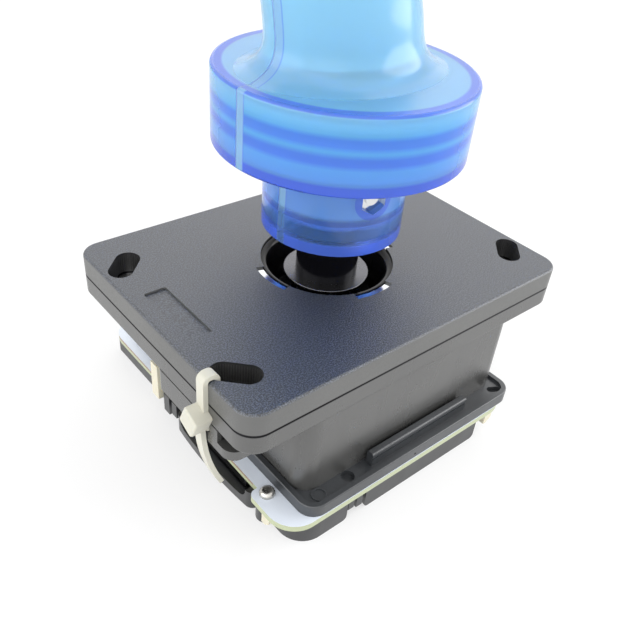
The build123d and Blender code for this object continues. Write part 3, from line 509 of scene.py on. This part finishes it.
outward = measured(tree, "DOT_PRODUCT", level.outputs["Vector"], place.outputs["Normal"])
face_side = tree.nodes.new("ShaderNodeNewGeometry")
facing = maths(tree, "MULTIPLY_ADD", face_side.outputs["Backfacing"], -2.0, 1.0)
outside = maths(tree, "GREATER_THAN", maths(tree, "MULTIPLY", outward, facing), OUTWARD)
polished = maths(tree, "MAXIMUM", outside, flat_faces(tree, place.outputs["Normal"]))
clear = spread(tree, polished, low=0.82, high=0.92, start=0.0, end=1.0)
window = within(tree, height, WINDOW_FOOT, WINDOW_HEAD)
smooth_part = maths(tree, "MAXIMUM", outside, window)
frost = spread(tree, smooth_part, low=0.34, high=0.14, start=0.0, end=1.0)
tree.links.new(frost, shader.inputs["Roughness"])

thick = within(tree, height, DISC_FOOT - SKIN, DISC_FOOT + DISC_RING_HIGH)
for ring_up in DISC_RINGS_UP:
    ring_foot = DISC_FOOT + ring_up
    ring = within(tree, height, ring_foot, ring_foot + DISC_RING_HIGH, RING_SOFT)
    thick = maths(tree, "MAXIMUM", thick, maths(tree, "MULTIPLY", ring, RING_SHARE))
disc_wall = within(tree, radius, DISC_R - DISC_SKIN, DISC_R + SKIN, SHARP)
thick = maths(tree, "MULTIPLY", thick, maths(tree, "MULTIPLY", disc_wall, outside))

foot_ring = within(tree, height, COLLAR_FOOT - SKIN, FOOT_RING_HEAD)
step_ring = within(tree, height, STEP_RING_FOOT, STEP_RING_HEAD)
collar_rings = maths(tree, "MAXIMUM", foot_ring, maths(tree, "MULTIPLY", step_ring, COLLAR_SHARE))
collar_wall = within(tree, radius, COLLAR_INNER_R, COLLAR_OUTER_R, SHARP)
collar_wall = maths(tree, "MULTIPLY", collar_wall, outside)
thick = maths(tree, "MAXIMUM", thick, maths(tree, "MULTIPLY", collar_rings, collar_wall))

rim_wall = within(tree, radius, DISC_R - WALL, DISC_R + SKIN)
rim_top = within(tree, height, DISC_HEAD - RIM_DEEP, DISC_HEAD + SKIN, SHARP)
thick = maths(tree, "MAXIMUM", thick, maths(tree, "MULTIPLY", rim_wall, rim_top))

joint_way = (sin(JOINT_TURN), -cos(JOINT_TURN), 0.0)
from_joint = measured(tree, "DOT_PRODUCT", place.outputs["Object"], joint_way)
strip = within(tree, from_joint, 0.0, STRIP_WIDE, LINE_SHARP)
strip = maths(tree, "MULTIPLY", strip, outside)
strip_line = within(tree, from_joint, *STRIP_LINE, STRIP_LINE_SOFT)
joint_line = within(tree, from_joint, *JOINT_LINE, LINE_SHARP)
lines = maths(tree, "MULTIPLY", maths(tree, "MAXIMUM", strip_line, joint_line), outside)
thick = maths(tree, "MULTIPLY", thick, maths(tree, "SUBTRACT", 1.0, strip))
thick = maths(tree, "MAXIMUM", thick, maths(tree, "MULTIPLY", lines, LINE_SHARE))

from_nut = measured(tree, "DISTANCE", place.outputs["Object"], NUT_AT)
nut_boss = maths(tree, "MULTIPLY", maths(tree, "LESS_THAN", from_nut, NUT_BOSS_R), outside)
thick = maths(tree, "MAXIMUM", thick, maths(tree, "MULTIPLY", nut_boss, BOSS_SHARE))

upper_grip = within(tree, height, STEP_RING_HEAD, HANDLE_HEAD, HANDLE_SOFT)
milky = maths(tree, "MAXIMUM", maths(tree, "MULTIPLY", upper_grip, MILK),
              maths(tree, "MULTIPLY", thick, THICK_MILK))
tree.links.new(maths(tree, "SUBTRACT", clear, milky), shader.inputs["Transmission Weight"])

sky_blue = tree.nodes.new("ShaderNodeValToRGB")
rise = spread(tree, height, low=0.0, high=1.0, start=COLLAR_FOOT, end=DISC_HEAD + SKIN)
tree.links.new(rise, sky_blue.inputs["Fac"])
stops = sky_blue.color_ramp.elements
while len(stops) < len(SKY_BLUES):
    stops.new(0.5)
for stop, (place_up, colour) in zip(stops, SKY_BLUES):
    stop.position = place_up
    stop.color = (*colour, 1)
strip_colour = mixed(tree, strip, sky_blue.outputs["Color"], STRIP_BLUE)
deep_colour = mixed(tree, maths(tree, "MULTIPLY", thick, THICK_COLOUR), strip_colour, VIOLET_BLUE)
tree.links.new(mixed(tree, polished, FROSTED_BLUE, deep_colour), shader.inputs["Base Color"])

inside = add(tree, "ShaderNodeVolumeAbsorption", Color=(*GRIP_DEEP, 1), Density=GRIP_DENSITY)
tree.links.new(inside.outputs["Volume"], tree.nodes["Material Output"].inputs["Volume"])
for part in ("grip_half_front", "grip_half_rear"):
    dress(part, grip_blue)

# Cross screw and nut
# A bright plated steel screw and its nut, seated in a pocket of the collar.
# They clamp the two shells of the grip to the shaft.
for part in ("cross_screw", "cross_nut"):
    dress(part, bright)

# Cable tie
# A moulded tie of ivory nylon, pulled tight through the front slot, its tail
# hanging free.
tie_ivory = moulded("tie_ivory", dark=(0.53, 0.515, 0.435), light=(0.63, 0.62, 0.54), roughness=0.40)
waxy(tie_ivory, weight=0.3, radius=(0.002, 0.0018, 0.0014))
dress("cable_tie", tie_ivory)

# Studio
# A white floor and surround, four soft lamps around the part, and a camera in
# front of the plate's nearest corner, looking down.
FLOOR = cad_box[0].z
FLOOR_REACH = 4.0
FLOOR_SEEN = 0.6
FLOOR_MIRRORED = 0.9
ROOM_LIGHT = 0.95
ROOM_SEEN = 1.0
ROOM_MIRRORED = 0.3
CAMERA_AT = Vector((-0.10159, -0.10766, 0.09230))
CAMERA_AIM = Vector((0.54754, 0.58106, -0.60214))
CAMERA_ROLL = radians(5.906)
CAMERA_LENS = 40.223

white, tree, shader = new_material("white_floor")
shader.inputs["Base Color"].default_value = (0.92, 0.92, 0.92, 1)
shader.inputs["Roughness"].default_value = 0.9
shader.inputs["Specular IOR Level"].default_value = 0.1
path = tree.nodes.new("ShaderNodeLightPath")
seen = maths(tree, "MAXIMUM", path.outputs["Is Camera Ray"], path.outputs["Is Transmission Ray"])
seen_share = maths(tree, "MULTIPLY", seen, FLOOR_SEEN)
mirror_share = maths(tree, "MULTIPLY", path.outputs["Is Glossy Ray"], FLOOR_MIRRORED)
glow = add(tree, "ShaderNodeEmission", Color=(1, 1, 1, 1), Strength=1.0)
blend = tree.nodes.new("ShaderNodeMixShader")
tree.links.new(maths(tree, "MAXIMUM", seen_share, mirror_share), blend.inputs["Fac"])
tree.links.new(shader.outputs["BSDF"], blend.inputs[1])
tree.links.new(glow.outputs["Emission"], blend.inputs[2])
tree.links.new(blend.outputs["Shader"], tree.nodes["Material Output"].inputs["Surface"])

corners = [(x * FLOOR_REACH, y * FLOOR_REACH, FLOOR) for x, y in ((-1, -1), (1, -1), (1, 1), (-1, 1))]
mesh = bpy.data.meshes.new("floor")
mesh.from_pydata(corners, [], [(0, 1, 2, 3)])
mesh.materials.append(white)
floor = bpy.data.objects.new("floor", mesh)
bpy.context.scene.collection.objects.link(floor)

world = bpy.data.worlds.new("surround")
bpy.context.scene.world = world
world.use_nodes = True
tree = world.node_tree
sky = tree.nodes["Background"]
sky.inputs["Color"].default_value = (1, 1, 1, 1)
path = tree.nodes.new("ShaderNodeLightPath")
seen = maths(tree, "MAXIMUM", path.outputs["Is Camera Ray"], path.outputs["Is Transmission Ray"])
room = spread(tree, seen, low=ROOM_LIGHT, high=ROOM_SEEN, start=0.0, end=1.0)
room = maths(tree, "MULTIPLY_ADD", path.outputs["Is Glossy Ray"], ROOM_MIRRORED, room)
tree.links.new(room, sky.inputs["Strength"])


def soft_light(name, at, aim, size, power):
    lamp = bpy.data.lights.new(name, "AREA")
    lamp.shape = "DISK"
    lamp.size = size
    lamp.energy = power
    made = bpy.data.objects.new(name, lamp)
    made.location = at
    made.rotation_mode = "QUATERNION"
    made.rotation_quaternion = (Vector(aim) - Vector(at)).to_track_quat("-Z", "Y")
    bpy.context.scene.collection.objects.link(made)


soft_light("behind", at=(0.46, 0.50, 0.50), aim=(0, 0, 0), size=1.0, power=1.3)
soft_light("front", at=(-0.50, -0.55, 0.30), aim=(0, 0, 0.03), size=1.2, power=2.4)
soft_light("left_side", at=(-0.7, 0.15, 0.25), aim=(0, 0, 0), size=0.9, power=2.8)
soft_light("right_side", at=(0.40, -0.24, 0.14), aim=(0, 0, 0), size=0.45, power=1.5)

view = bpy.context.scene.view_settings
view.view_transform = "Standard"

camera_data = bpy.data.cameras.new("camera")
camera_data.lens = CAMERA_LENS
camera_data.sensor_width = 36.0
camera_data.clip_start = 0.005
camera = bpy.data.objects.new("camera", camera_data)
bpy.context.scene.collection.objects.link(camera)
camera.rotation_mode = "QUATERNION"
camera.location = CAMERA_AT
turn = CAMERA_AIM.to_track_quat("-Z", "Y").to_matrix() @ Matrix.Rotation(CAMERA_ROLL, 3, "Z")
camera.rotation_quaternion = turn.to_quaternion()
bpy.context.scene.camera = camera
